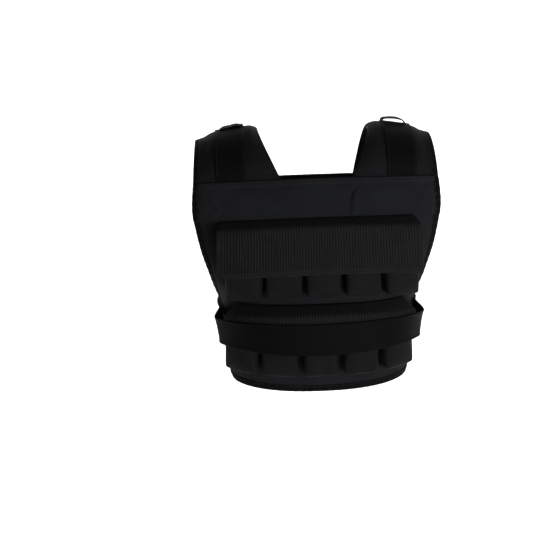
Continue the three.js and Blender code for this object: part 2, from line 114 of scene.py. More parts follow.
def smooth_table(rows, at):
    """A table's further columns at places in its first one, on smooth curves through its rows."""
    table = np.array(rows, float)
    known, values = table[:, 0], table[:, 1:]
    chords = np.diff(values, axis=0) / np.diff(known)[:, None]
    slopes = np.vstack([chords[:1], (chords[1:] + chords[:-1]) / 2, chords[-1:]])
    at = np.clip(np.atleast_1d(np.asarray(at, float)), known[0], known[-1])
    row = np.clip(np.searchsorted(known, at) - 1, 0, len(known) - 2)
    span = (known[row + 1] - known[row])[:, None]
    t = (at - known[row])[:, None] / span
    start = (2 * t**3 - 3 * t**2 + 1) * values[row] + (t**3 - 2 * t**2 + t) * span * slopes[row]
    end = (3 * t**2 - 2 * t**3) * values[row + 1] + (t**3 - t**2) * span * slopes[row + 1]
    return start + end


def smoothstep(low, high, at):
    """0 below low, 1 above high, and a smooth rise between."""
    t = np.clip((at - low) / (high - low), 0, 1)
    return t * t * (3 - 2 * t)


def plan_at(drop):
    """The trunk's half plan at one level: its length, and x and y at even steps from the back's middle."""
    width, back, front, square = smooth_table(TRUNK_LEVELS, drop / HEM_DROP)[0]
    turn = np.linspace(0, math.pi, PLAN_TURNS)
    depth = np.where(turn < math.pi / 2, back * BACK_DEPTH, front * CHEST_DEPTH)
    across = np.abs(np.sin(turn)) / (width * TRUNK_HALF_WIDTH)
    reach = (across**square + (np.abs(np.cos(turn)) / depth) ** square) ** (-1 / square)
    x, y = reach * np.sin(turn), -reach * np.cos(turn)
    along = np.concatenate([[0], np.cumsum(np.hypot(np.diff(x), np.diff(y)))])
    even = np.linspace(0, along[-1], PLAN_POINTS)
    return along[-1], np.interp(even, along, x), np.interp(even, along, y)


plan_drops = np.linspace(0, TRUNK_LEVELS[-1][0] * HEM_DROP, PLAN_LEVELS)
plan_halves, plan_x, plan_y = (np.array(column) for column in zip(*[plan_at(drop) for drop in plan_drops]))


def trunk_half(drop):
    """Half the way round the trunk at a level."""
    return np.interp(drop, plan_drops, plan_halves)


def trunk_face(across, drop):
    """Points on the trunk, by their distances round it from the middle of the back and down it."""
    half = trunk_half(drop)
    across = np.where(np.abs(across) > half, across - np.sign(across) * 2 * half, across)
    row = np.interp(drop, plan_drops, np.arange(len(plan_drops)))
    column = np.abs(across) / half * (plan_x.shape[1] - 1)
    r = np.clip(row.astype(int), 0, plan_x.shape[0] - 2)
    c = np.clip(column.astype(int), 0, plan_x.shape[1] - 2)
    down, on = row - r, column - c
    x, y = (
        (1 - down) * ((1 - on) * plan[r, c] + on * plan[r, c + 1])
        + down * ((1 - on) * plan[r + 1, c] + on * plan[r + 1, c + 1])
        for plan in (plan_x, plan_y)
    )
    return np.stack([np.sign(across) * x, y, -drop], axis=-1)


def shoulder_sag(share, drop):
    """How far a level line of the back sags towards the arms, which it does down to the belt."""
    return SHOULDER_SAG * share**2 * (1 - smoothstep(UPPER_FLAP_DROP, BELT_DROP, drop))


def back_face(across, drop):
    """Points on the trunk's back, where level lines sag towards the arms."""
    return trunk_face(across, drop + shoulder_sag(across / BACK_HALF_WIDTH, drop))


def stand_out(face, across, drop, out, steps=(1.5, 1.5)):
    """Points that stand out from a face that runs across and down, in millimetres."""
    sideways = face(across + steps[0], drop) - face(across - steps[0], drop)
    downwards = face(across, drop + steps[1]) - face(across, drop - steps[1])
    normal = np.cross(downwards, sideways)
    normal /= np.linalg.norm(normal, axis=-1, keepdims=True)
    return face(across, drop) + normal * np.asarray(out)[..., None]


def swell(across, drop, length, seed):
    """Soft, uneven rises and hollows of cloth, from -1 to 1, about that length from one to the next."""
    rises = [noise.noise((a / length, d / length, seed)) for a, d in zip(across, drop)]
    return np.array(rises) * NOISE_SPREAD


def flat_cloth(columns, rows, thick=False):
    """A flat sheet of cells, x and y from -1 to 1, closed by a second face at z 1 where it is thick."""
    cloth = bmesh.new()
    bmesh.ops.create_grid(cloth, x_segments=columns, y_segments=rows, size=1)
    if thick:
        lifted = bmesh.ops.extrude_face_region(cloth, geom=cloth.faces[:])["geom"]
        upper = [v for v in lifted if isinstance(v, bmesh.types.BMVert)]
        bmesh.ops.translate(cloth, verts=upper, vec=(0, 0, 1))
        bmesh.ops.recalc_face_normals(cloth, faces=cloth.faces)
    return cloth


def points_of(shape):
    """Where a bmesh's points lie."""
    return np.array([v.co for v in shape.verts], float)


def move_to(shape, points):
    """Moves a bmesh's points to places in millimetres."""
    for vert, point in zip(shape.verts, points * MM):
        vert.co = point


def keep_cut(shape, across, up):
    """Keeps the points' places on the flat cloth as its UV map, which the weave follows."""
    layer = shape.loops.layers.uv.get("cut") or shape.loops.layers.uv.new("cut")
    shape.verts.index_update()
    for face in shape.faces:
        for corner in face.loops:
            i = corner.vert.index
            corner[layer].uv = (across[i] * MM, up[i] * MM)


def laid_on(shape, face, layout):
    """Moves a flat sheet's points on to a face. layout gives their across, drop and out, and their relief
    along the cloth's own normal."""
    across, drop, out, relief = layout(*points_of(shape).T)
    move_to(shape, stand_out(face, across, drop, out))
    shape.normal_update()
    for vert, height in zip(shape.verts, np.broadcast_to(relief, across.shape) * MM):
        vert.co += vert.normal * height
    keep_cut(shape, across, -drop)


def put(name, data):
    """An object of that data, in the scene."""
    made = bpy.data.objects.new(name, data)
    bpy.context.scene.collection.objects.link(made)
    return made


def smooth_mesh(name, shape, *materials):
    """A bmesh as an object with a smooth mesh, in the scene."""
    mesh = bpy.data.meshes.new(name)
    shape.to_mesh(mesh)
    mesh.shade_smooth()
    for material in materials:
        mesh.materials.append(material)
    return put(name, mesh)


def sewn(name, shape, material, slot, *nodes, wall=0, offset=0):
    """Makes a bmesh a piece of the vest that stands for those nodes of the frame. A sheet's wall goes half to
    each side, or all inwards with offset -1."""
    piece = smooth_mesh(name, shape, material)
    shape.free()
    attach(piece, "root")
    if nodes:
        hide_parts(*nodes)
    if wall:
        thick = piece.modifiers.new("wall", "SOLIDIFY")
        thick.thickness = wall * MM
        thick.offset = offset
    return piece


def linear(colour):
    """A hex colour as linear RGBA."""
    channels = [(colour >> shift & 255) / 255 for shift in (16, 8, 0)]
    return [c / 12.92 if c <= 0.04045 else ((c + 0.055) / 1.055) ** 2.4 for c in channels] + [1]


def add_node(tree, kind, inputs=None, **settings):
    """Adds a node with its settings. inputs gives its sockets a value or another node's output."""
    made = tree.nodes.new(kind)
    for name, value in settings.items():
        setattr(made, name, value)
    for socket, source in (inputs or {}).items():
        if isinstance(source, bpy.types.NodeSocket):
            tree.links.new(source, made.inputs[socket])
        else:
            made.inputs[socket].default_value = source
    return made


def reckon(tree, operation, *values):
    """What a math node makes of numbers or sockets."""
    return add_node(tree, "ShaderNodeMath", dict(enumerate(values)), operation=operation).outputs[0]


def waves(tree, along, pitch):
    """A wave from -1 to 1 of that pitch in millimetres, along a socket that holds metres."""
    return reckon(tree, "SINE", reckon(tree, "MULTIPLY", along, 2 * math.pi / (pitch * MM)))


def on_cloth(tree):
    """A point's place on the flat cloth, as a socket across it and one along it."""
    cut = add_node(tree, "ShaderNodeUVMap", uv_map="cut")
    sides = add_node(tree, "ShaderNodeSeparateXYZ", {0: cut.outputs["UV"]})
    return sides.outputs["X"], sides.outputs["Y"]


def black_nylon(name, light, dark, relief, depth, patch, rough, sheen):
    """Black nylon, whose colour drifts between two tones in patches, with a woven relief of that depth, which
    relief(tree, across, down) gives from -1 to 1."""
    material = bpy.data.materials.new(name)
    material.use_nodes = True
    tree = material.node_tree
    shader = tree.nodes["Principled BSDF"]
    place = add_node(tree, "ShaderNodeTexCoord")
    across, down = on_cloth(tree)
    patches = {"Vector": place.outputs["Object"], "Scale": 1 / (patch * MM), "Detail": 4.0}
    drift = add_node(tree, "ShaderNodeTexNoise", patches)
    tones = {"Factor": drift.outputs["Fac"], 6: linear(dark), 7: linear(light)}
    colour = add_node(tree, "ShaderNodeMix", tones, data_type="RGBA")
    tree.links.new(colour.outputs[2], shader.inputs["Base Color"])
    ends = {"To Min": rough - ROUGHNESS_DRIFT, "To Max": rough + ROUGHNESS_DRIFT}
    roughness = add_node(tree, "ShaderNodeMapRange", {"Value": drift.outputs["Fac"], **ends})
    tree.links.new(roughness.outputs["Result"], shader.inputs["Roughness"])
    raised = {"Height": relief(tree, across, down), "Strength": NYLON_BUMP, "Distance": depth * MM}
    bump = add_node(tree, "ShaderNodeBump", raised)
    tree.links.new(bump.outputs["Normal"], shader.inputs["Normal"])
    shader.inputs["Specular IOR Level"].default_value = NYLON_SPECULAR
    shader.inputs["Sheen Weight"].default_value = sheen
    shader.inputs["Sheen Roughness"].default_value = NYLON_SHEEN_ROUGHNESS
    return material


def plain_weave(pitch):
    """Warp over weft, at that thread pitch in millimetres."""

    def relief(tree, across, down):
        return reckon(tree, "MULTIPLY", waves(tree, across, pitch), waves(tree, down, pitch))

    return relief


class Panel:
    """One of the vest's two padded panels, by its face, its top and hem, and its widths."""

    def __init__(self, face, top, hem, half_width, widths):
        self.face = face
        self.top = top
        self.hem = hem
        self.half_width = half_width
        self.widths = widths

    def share(self, drop):
        """A drop as a share of the panel's height."""
        return (drop - self.top) / (self.hem - self.top)

    def half(self, drop):
        """The panel's half width at a drop, before its lower corners are rounded."""
        return smooth_table(self.widths, self.share(drop))[:, 0] * self.half_width

    def rise(self, across, drop):
        """How far the hem rises towards the sides."""
        return HEM_RISE * (across / self.half_width) ** 2 * self.share(drop) ** 3

    def outline(self, side, down):
        """Across and drop for side, from -1 to 1, and down, from 0 to 1, which ends round the corners."""
        straight = 1 - HEM_CORNER / (self.hem - self.top)
        turn = np.clip((down - straight) / (1 - straight), 0, 1) * math.pi / 2
        share = np.where(down < straight, down, 1 - (1 - straight) * (1 - np.sin(turn)))
        drop = self.top + (self.hem - self.top) * share
        across = side * (self.half(drop) - HEM_CORNER * (1 - np.cos(turn)))
        return across, drop - self.rise(across, drop)

    def from_edge(self, across, drop):
        """How far a point is from the panel's edge, with its round lower corners."""
        level = drop + self.rise(across, drop)
        beyond_x = np.abs(across) - (self.half(drop) - HEM_CORNER)
        beyond_z = level - (self.hem - HEM_CORNER)
        outside = np.hypot(np.maximum(beyond_x, 0), np.maximum(beyond_z, 0))
        inside = np.minimum(np.maximum(beyond_x, beyond_z), 0)
        return np.minimum(HEM_CORNER - outside - inside, level - self.top)

    def thickness(self, across, drop):
        """How thick the panel is, which its tape pinches at the edge."""
        full = smoothstep(0, EDGE_ROLL, self.from_edge(across, drop))
        return EDGE_THICKNESS + (PANEL_THICKNESS - EDGE_THICKNESS) * full

    def outer(self, across, drop):
        """How far the panel's outer face stands out."""
        return (PANEL_THICKNESS + self.thickness(across, drop)) / 2

    def layout(self, x, y, z):
        """Where the points of the flat panel lie, with the foam's swell and the puckers along the tape."""
        across, drop = self.outline(x, (1 - y) / 2)
        thick = self.thickness(across, drop)
        away = self.from_edge(across, drop)
        pucker = SEAM_PUCKER * np.sin(2 * math.pi * (across + drop) / PUCKER_LENGTH)
        soft = QUILT_SWELL * swell(across, drop, QUILT_LENGTH, seed=1) * smoothstep(*FOAM_RISE, away)
        inner = (PANEL_THICKNESS - thick) / 2
        outer = inner + thick + pucker * np.exp(-away / PUCKER_REACH) + soft
        return across, drop, np.where(z > 0.5, outer, inner), 0


cloth = black_nylon(
    "woven_nylon_cloth", CLOTH_HEX, CLOTH_SHADE_HEX, plain_weave(CLOTH_THREAD),
    depth=0.12, patch=70, rough=0.72, sheen=0.02,
)
back = Panel(back_face, BACK_TOP_DROP, HEM_DROP, BACK_HALF_WIDTH, BACK_WIDTHS)
shape = flat_cloth(*BACK_CELLS, thick=True)
laid_on(shape, back_face, back.layout)
back_panel = sewn("back_panel_padding", shape, cloth, "panel_cloth", "back_panel")

# The edge tape of the back
# A folded nylon grosgrain tape, sewn on over the panel's raw edges: down one side, along the hem and up the
# other. Its ribs run across it, stitches hold it near its inner edge, and it puckers a little between them.
TAPE_WIDTH = 10
TAPE_THICKNESS = 0.9
TAPE_EASE = 0.25
TAPE_FLANGE = (TAPE_WIDTH, 7, 4)
TAPE_FOLD_IN = 1.2
TAPE_TURN_POINTS = 9
TAPE_TOP = PANEL_THICKNESS / 2 + EDGE_THICKNESS / 2 + TAPE_EASE + TAPE_THICKNESS
TAPE_PUCKER = 0.3
TAPE_RIB = 1.3
TAPE_HEX = 0x141416
TAPE_SHADE_HEX = 0x0E0E10
TAPE_STEP = 3
TAPE_CELL = 2.2
SIDE_POINTS = 200
HEM_POINTS = 160
STITCH_IN = 2.2
STITCH_LENGTH = 2.7
STITCH_PITCH = 3.6
THREAD_THICKNESS = 0.55
THREAD_PLY = 0.9
THREAD_HEX = 0x46464B
YOKE_CLOTH = 1.5
YOKE_HELD = (4, 8)


def crosswise_ribs(pitch):
    """The ribs of grosgrain, across the length of a tape that runs down its UV map."""
    return lambda tree, across, down: waves(tree, down, pitch)


def way_along(line):
    """How far along a line each of its points is."""
    return np.concatenate([[0], np.cumsum(np.linalg.norm(np.diff(line, axis=0), axis=1))])


def point_at(line, gone, at):
    """A line's columns at places along it, where gone says how far along each of its points is."""
    return [np.interp(at, gone, column) for column in line.T]


def evenly(line, step):
    """A line of points again, at even steps along it."""
    gone = way_along(line)
    at = np.linspace(0, gone[-1], max(2, round(gone[-1] / step) + 1))
    return np.stack(point_at(line, gone, at), axis=1)


def stitch_row(shape, line, ups):
    """Adds a row of stitches along a line in metres, as short threads that lie half in the cloth."""
    gone = way_along(line)
    for start in np.arange(STITCH_PITCH, gone[-1] / MM - STITCH_PITCH, STITCH_PITCH) * MM:
        first = Vector(point_at(line, gone, start))
        last = Vector(point_at(line, gone, start + STITCH_LENGTH * MM))
        up = Vector(point_at(ups, gone, start)).normalized()
        run = last - first
        side = run.cross(up).normalized()
        sizes = (side * THREAD_THICKNESS * MM / 2, up * THREAD_THICKNESS * MM / 2, run / 2)
        place = Matrix.Translation((first + last) / 2) @ Matrix(sizes).transposed().to_4x4()
        bmesh.ops.create_uvsphere(shape, u_segments=6, v_segments=4, radius=1, matrix=place)


def stitch_on(shape, face, across, drop, out):
    """Adds a row of stitches along a line on a face."""
    line = stand_out(face, across, drop, out) * MM
    above = stand_out(face, across, drop, np.asarray(out) + 1) * MM
    stitch_row(shape, line, above - line)


def tape_section():
    """The tape's middle line round a panel's edge, as distances in from the edge and out."""
    middle = PANEL_THICKNESS / 2
    radius = EDGE_THICKNESS / 2 + TAPE_EASE + TAPE_THICKNESS / 2
    turn = np.linspace(-math.pi / 2, math.pi / 2, TAPE_TURN_POINTS)
    flange = np.array(TAPE_FLANGE)
    flat = np.ones(len(flange))
    inward = np.concatenate([flange, TAPE_FOLD_IN - radius * np.cos(turn), flange[::-1]])
    round_fold = middle + radius * np.sin(turn)
    return inward, np.concatenate([flat * (middle - radius), round_fold, flat * (middle + radius)])


def panel_edge(panel):
    """The panel's edge, down one side, along the hem and up the other, and the way inwards from it."""
    down = np.linspace(0, 1, SIDE_POINTS)
    side = np.linspace(-1, 1, HEM_POINTS)
    left = np.stack(panel.outline(np.full(SIDE_POINTS, -1.0), down), axis=1)
    hem = np.stack(panel.outline(side, np.ones(HEM_POINTS)), axis=1)
    right = np.stack(panel.outline(np.ones(SIDE_POINTS), down[::-1]), axis=1)
    line = evenly(np.vstack([left, hem[1:-1], right]), TAPE_STEP)
    run = np.gradient(line, axis=0)
    run[[0, -1], 0] = 0
    run /= np.linalg.norm(run, axis=1, keepdims=True)
    return line, np.stack([run[:, 1], -run[:, 0]], axis=1)


section_in, section_out = tape_section()


def tape_round(panel, under, name, node):
    """Sews the tape on a panel. under gives how much more cloth than the panel it holds at a drop."""
    line, inwards = panel_edge(panel)
    columns, rows = len(section_in), len(line)
    shape = flat_cloth(columns - 1, rows - 1)

    def layout(x, y, z):
        column = np.rint((x + 1) / 2 * (columns - 1)).astype(int)
        row = np.rint((1 - y) / 2 * (rows - 1)).astype(int)
        points = line[row] + inwards[row] * section_in[column, None]
        outside = smoothstep(-3, 3, section_out[column] - PANEL_THICKNESS / 2)
        pucker = TAPE_PUCKER * np.sin(2 * math.pi * row * TAPE_STEP / PUCKER_LENGTH)
        out = section_out[column] + (under(line[row, 1]) + pucker) * outside
        return points[:, 0], points[:, 1], out, 0

    laid_on(shape, panel.face, layout)
    i = np.arange(columns * rows)
    keep_cut(shape, i % columns * TAPE_CELL, i // columns * TAPE_STEP)
    sewn(name, shape, tape, "edge_tape", node, wall=TAPE_THICKNESS)
    shape = bmesh.new()
    points = line + inwards * (TAPE_WIDTH - STITCH_IN)
    stitch_on(shape, panel.face, points[:, 0], points[:, 1], TAPE_TOP + under(line[:, 1]))
    sewn(f"{name}_stitches", shape, thread, "edge_tape")


tape = black_nylon(
    "nylon_grosgrain_tape", TAPE_HEX, TAPE_SHADE_HEX, crosswise_ribs(TAPE_RIB),
    depth=0.15, patch=40, rough=0.78, sheen=0.01,
)
thread = black_nylon(
    "nylon_thread", THREAD_HEX, TAPE_HEX, crosswise_ribs(THREAD_PLY),
    depth=0.1, patch=30, rough=0.6, sheen=0.1,
)


def under_back_tape(drop):
    """The yoke's cloth, which the tape holds too down to the upper flap."""
    ends = smoothstep(UPPER_FLAP_DROP - YOKE_HELD[0], UPPER_FLAP_DROP + YOKE_HELD[1], drop)
    return YOKE_CLOTH * (1 - ends)


tape_round(back, under_back_tape, "back_edge_tape", "back_binding")

# The yoke
# The upper back's outer cloth, one layer of the same nylon, laid on the panel from its top edge to the upper
# flap. Its top is turned over the pads' ends and held by two rows of stitches, and it creases in wear.
YOKE_TOP_DROP = 66.8
YOKE_END_DROP = 124.6
YOKE_TUCK = 7.5
YOKE_HEM = 9
YOKE_EASE = 0.3
YOKE_FREE = 12
YOKE_LIFT = 0.8
YOKE_SOFT = 0.8
YOKE_SOFT_LENGTH = 34
YOKE_TURN_IN = 0.9
YOKE_TURN_EDGE = 1.2
YOKE_FOLDS_FROM = (-2, 10)
YOKE_CELLS = (220, 40)
YOKE_STITCH_DROPS = (2.6, YOKE_HEM - 2.2)
YOKE_STITCH_END = 14
YOKE_CREASES = (
    # across and drop at both ends, height, and half width
    (66, 74, 52, 92, -2.2, 2.6),
    (52, 92, 47, 122, -1.8, 3.0),
    (60, 88, 56, 122, 1.8, 3.6),
    (-172, 86, -160, 101, 1.7, 4.2),
    (-168, 118, -156, 106, 1.5, 4.4),
    (176, 82, 160, 116, 1.9, 4.5),
    (168, 78, 176, 100, -1.4, 3.6),
    (-20, 82, -24, 120, 0.6, 6.0),
    (-120, 80, -126, 118, 0.5, 8.0),
    (112, 82, 118, 116, 0.5, 8.0),
)
CREASE_START = 0.15
CREASE_END = (0.8, 1.2)
CREASE_LEAST = 0.35


def crease(across, drop, line):
    """The height of a crease along a straight line, soft to both sides and towards its ends."""
    start, end = np.array(line[:2], float), np.array(line[2:4], float)
    height, half_width = line[4:]
    run = end - start
    along = ((across - start[0]) * run[0] + (drop - start[1]) * run[1]) / (run @ run)
    held = np.clip(along, 0, 1)
    away = np.hypot(across - start[0] - held * run[0], drop - start[1] - held * run[1])
    ends = smoothstep(-CREASE_START, CREASE_START, along) * (1 - smoothstep(*CREASE_END, along))
    return height * np.exp(-((away / half_width) ** 2)) * (CREASE_LEAST + (1 - CREASE_LEAST) * ends)


def yoke_out(across, drop):
    """How far the middle of the yoke's cloth stands out, over the tape at its ends, its top turned in."""
    free = smoothstep(0, YOKE_FREE, back.half(np.maximum(drop, BACK_TOP_DROP)) - np.abs(across) - YOKE_TUCK)
    folds = sum(crease(across, drop, line) for line in YOKE_CREASES)
    folds = folds + YOKE_SOFT * swell(across, drop, YOKE_SOFT_LENGTH, seed=4) + YOKE_LIFT
    past_hem = drop - YOKE_TOP_DROP - YOKE_HEM
    risen = free * (folds * smoothstep(*YOKE_FOLDS_FROM, past_hem) + YOKE_LIFT)
    turned_in = YOKE_TURN_IN * (1 - smoothstep(-YOKE_TURN_EDGE, 0, past_hem))
    panel_out = back.outer(across, np.maximum(drop, BACK_TOP_DROP + EDGE_ROLL))
    return panel_out + YOKE_EASE + YOKE_CLOTH / 2 + risen + turned_in


def yoke_layout(x, y, z):
    """Where the yoke's cloth lies."""
    drop = YOKE_TOP_DROP + (YOKE_END_DROP - YOKE_TOP_DROP) * (1 - y) / 2
    across = x * (back.half(np.maximum(drop, BACK_TOP_DROP)) - YOKE_TUCK)
    return across, drop, yoke_out(across, drop), 0


shape = flat_cloth(*YOKE_CELLS)
laid_on(shape, back_face, yoke_layout)
yoke = sewn("back_yoke_cloth", shape, cloth, "panel_cloth", "back_yoke", wall=YOKE_CLOTH)
across, drop, out, _ = yoke_layout(np.linspace(-1, 1, 200), np.zeros(200), 0)
yoke_width = way_along(stand_out(back_face, across, drop, out))[-1]

shape = bmesh.new()
across = np.linspace(-1, 1, 240) * (BACK_HALF_WIDTH - YOKE_STITCH_END)
for below in YOKE_STITCH_DROPS:
    drop = np.full(240, YOKE_TOP_DROP + below)
    stitch_on(shape, back_face, across, drop, yoke_out(across, drop) + YOKE_CLOTH / 2)
sewn("back_yoke_stitches", shape, thread, "panel_cloth")

# The weight pockets
# Ten pockets in two rows of five, each folded from one piece of nylon round its block weight and sewn to the
# back. The cloth is drawn round the block, so it crowns in front and pulls in at its sides and lower corners.
POCKETS_IN_ROW = 5
POCKET_PITCH = 60.2
UPPER_POCKET_GAP = 6.6
LOWER_POCKET_GAP = 10
UPPER_ROW_SHIFT = 4
LOWER_ROW_SHIFT = -3
UPPER_POCKET_HEIGHT = 107
LOWER_POCKET_HEIGHT = 99
POCKET_DEPTH = 25.5
POCKET_SEAT = 8.1
POCKET_CELL = 3.6
POCKET_ROUND = 4.5
POCKET_SWELL = 1.6
POCKET_CRUMPLE = 0.6
POCKET_SEWN = (0.5, 1)
POCKET_DRAWN = {
    "quality": 6,
    "mass": 0.25,
    "tension_stiffness": 12,
    "compression_stiffness": 12,
    "shear_stiffness": 6,
    "bending_stiffness": 0.3,
    "use_pressure": True,
    "uniform_pressure_force": 4,
}
CRUMPLE_LENGTH = 19
CRUMPLE_RISE = (2, 14)
POCKET_HEX = 0x1E1E1F
POCKET_SHADE_HEX = 0x171718


def pocket_box(width, height):
    """The block that a pocket is drawn round, as a closed grid of cells, rounded in front and below."""
    box = bmesh.new()
    bmesh.ops.create_cube(box, size=1)
    for axis, length in enumerate((width, POCKET_DEPTH, height)):
        edges = [e for e in box.edges if abs((e.verts[0].co - e.verts[1].co).normalized()[axis]) > 0.99]
        bmesh.ops.subdivide_edges(box, edges=edges, cuts=round(length / POCKET_CELL) - 1, use_grid_fill=True)
    bmesh.ops.scale(box, vec=Vector((width, POCKET_DEPTH, height)), verts=box.verts)
    low = Vector((POCKET_ROUND - width / 2, POCKET_ROUND - POCKET_DEPTH / 2, POCKET_ROUND - height / 2))
    high = Vector((width / 2 - POCKET_ROUND, POCKET_DEPTH, height))
    for vert in box.verts:
        core = Vector(min(max(c, a), b) for c, a, b in zip(vert.co, low, high))
        beyond = vert.co - core
        if beyond.length > 0:
            vert.co = core + beyond.normalized() * max(abs(c) for c in beyond)
    bmesh.ops.scale(box, vec=Vector((MM, MM, MM)), verts=box.verts)
    return box


def drawn_tight(box, pinned, frames=18):
    """The box's cloth, blown up a little from inside and held where it is sewn, as points."""
    piece = smooth_mesh("pocket_in_work", box)
    mesh = piece.data
    held = piece.vertex_groups.new(name="sewn")
    for vert in mesh.vertices:
        if pinned(vert.co):
            held.add([vert.index], 1, "REPLACE")
    cloth_modifier = piece.modifiers.new("cloth", "CLOTH")
    for setting, value in POCKET_DRAWN.items():
        setattr(cloth_modifier.settings, setting, value)
    cloth_modifier.settings.vertex_group_mass = held.name
    cloth_modifier.settings.effector_weights.gravity = 0
    cloth_modifier.point_cache.frame_end = frames
    for step in range(1, frames + 1):
        bpy.context.scene.frame_set(step)
    shown = piece.evaluated_get(bpy.context.evaluated_depsgraph_get()).data
    points = np.array([v.co for v in shown.vertices], float)
    bpy.context.scene.frame_set(1)
    bpy.data.objects.remove(piece)
    bpy.data.meshes.remove(mesh)
    return points


def pocket_form(width, height):
    """A pocket's cloth: its bmesh, and its points in millimetres, at most POCKET_SWELL off the box."""
    box = pocket_box(width, height)
    start = points_of(box)
    sewn_back = (POCKET_DEPTH / 2 - POCKET_SEWN[0]) * MM
    sewn_top = (height / 2 - POCKET_SEWN[1]) * MM
    points = drawn_tight(box, lambda co: co.y > sewn_back or co.z > sewn_top)
    moved = points - start
    length = np.linalg.norm(moved, axis=1, keepdims=True)
    capped = moved * np.minimum(1, POCKET_SWELL * MM / np.maximum(length, 1e-9))
    return box, (start + capped) / MM


pocket_cloth = black_nylon(
    "woven_nylon_pocket_cloth", POCKET_HEX, POCKET_SHADE_HEX, plain_weave(CLOTH_THREAD),
    depth=0.12, patch=55, rough=0.72, sheen=0.02,
)
for row_name, top, height, gap, shift, seed in (
    ("upper", UPPER_POCKET_DROP, UPPER_POCKET_HEIGHT, UPPER_POCKET_GAP, UPPER_ROW_SHIFT, 10),
    ("lower", LOWER_POCKET_DROP, LOWER_POCKET_HEIGHT, LOWER_POCKET_GAP, LOWER_ROW_SHIFT, 30),
):
    box, form = pocket_form(POCKET_PITCH - gap - POCKET_SWELL, height)
    for place in range(POCKETS_IN_ROW):
        middle = shift + (place - (POCKETS_IN_ROW - 1) / 2) * POCKET_PITCH
        turned = -1 if place % 2 else 1
        across = middle + turned * form[:, 0]
        drop = top + height / 2 - form[:, 2]
        forward = POCKET_DEPTH / 2 - form[:, 1]
        crumple = POCKET_CRUMPLE * swell(across, drop, CRUMPLE_LENGTH, seed + place)
        crumple *= smoothstep(*CRUMPLE_RISE, forward)
        shape = box.copy()
        move_to(shape, stand_out(back_face, across, drop, POCKET_SEAT + forward + crumple))
        if turned < 0:
            bmesh.ops.reverse_faces(shape, faces=shape.faces)
        keep_cut(shape, across + forward, forward - drop)
        name = f"{row_name}_pocket_{place + 1}"
        pocket = sewn(f"{name}_cloth", shape, pocket_cloth, "pocket_cloth", name)
        smooth = pocket.modifiers.new("smooth", "SUBSURF")
        smooth.levels = smooth.render_levels = 1
    box.free()

# The ribbed flaps
# A wide band of ribbed elastic over each row of pockets, sewn to the back above them. It comes out over their
# tops in a short roof and hangs in front, with a turned hem below and a turned and stitched end.
UPPER_FLAP_LENGTH = 85
LOWER_FLAP_LENGTH = 69
UPPER_FLAP_HALF = 152.2
LOWER_FLAP_HALF = 139
FLAP_ROOF_DROP = 12
FLAP_SEAM_OUT = 8.6
OVER_POCKETS = 37.6
FLAP_CLOTH = 1.7
FLAP_ROW = 3
FLAP_ROUNDING = 25
FLAP_HANGS_FROM = 20
FLAP_DRAPE = 0.8
FLAP_DRAPE_LENGTH = 48
FLAP_SINK = 0.7
FLAP_CREASE = 0.8
FLAP_CREASE_FALL = 41
FLAP_CREASE_HALF = 2.5
FLAP_CREASE_FADE = 30
FLAP_SAG = 1.5
FLAP_SAG_LENGTH = 60
FLAP_HEM = 8
FLAP_HEM_RAISE = 0.5
FLAP_HEM_PRESS = 0.85
FLAP_HEM_SHADE = 0.45
FLAP_END_RAISE = 0.6
FLAP_END_STITCHES = 3.2
FLAP_HEM_STITCHES = 1.5
RIB_PITCH = 4.2
RIB_DEPTH = 0.85
RIB_CELLS = 6
RIB_ON_ROOF = 0.3
RIB_UNEVEN = 0.3
RIB_UNEVEN_LENGTH = 9
THREADS_IN_RIB = 3
BAND_WEFT = 1.4
FLAP_HEX = 0x2A2A29
FLAP_SHADE_HEX = 0x1E1E1D
# Painted shade for the grooves between the band's ribs, not a colour of the elastic.
GROOVE_PAINTED_SHADE_HEX = 0x131313


def flap_section(length, rows):
    """The flap's section, with its roof's edge rounded: its length, and fall and out at even steps."""
    edge = (FLAP_ROOF_DROP, OVER_POCKETS)
    roof = np.linspace((0, FLAP_SEAM_OUT), edge, 60)
    face = np.linspace(edge, (length, OVER_POCKETS), 180)[1:]
    line = evenly(np.vstack([roof, face]), 0.5)
    window = np.hanning(FLAP_ROUNDING)
    window /= window.sum()
    beyond = FLAP_ROUNDING // 2
    padded = np.pad(line, ((beyond, beyond), (0, 0)), mode="edge")
    soft = np.stack([np.convolve(column, window, mode="valid") for column in padded.T], axis=1)
    soft[0], soft[-1] = line[0], line[-1]
    gone = way_along(soft)
    falls, outs = point_at(soft, gone, np.linspace(0, gone[-1], rows + 1))
    return gone[-1], falls, outs


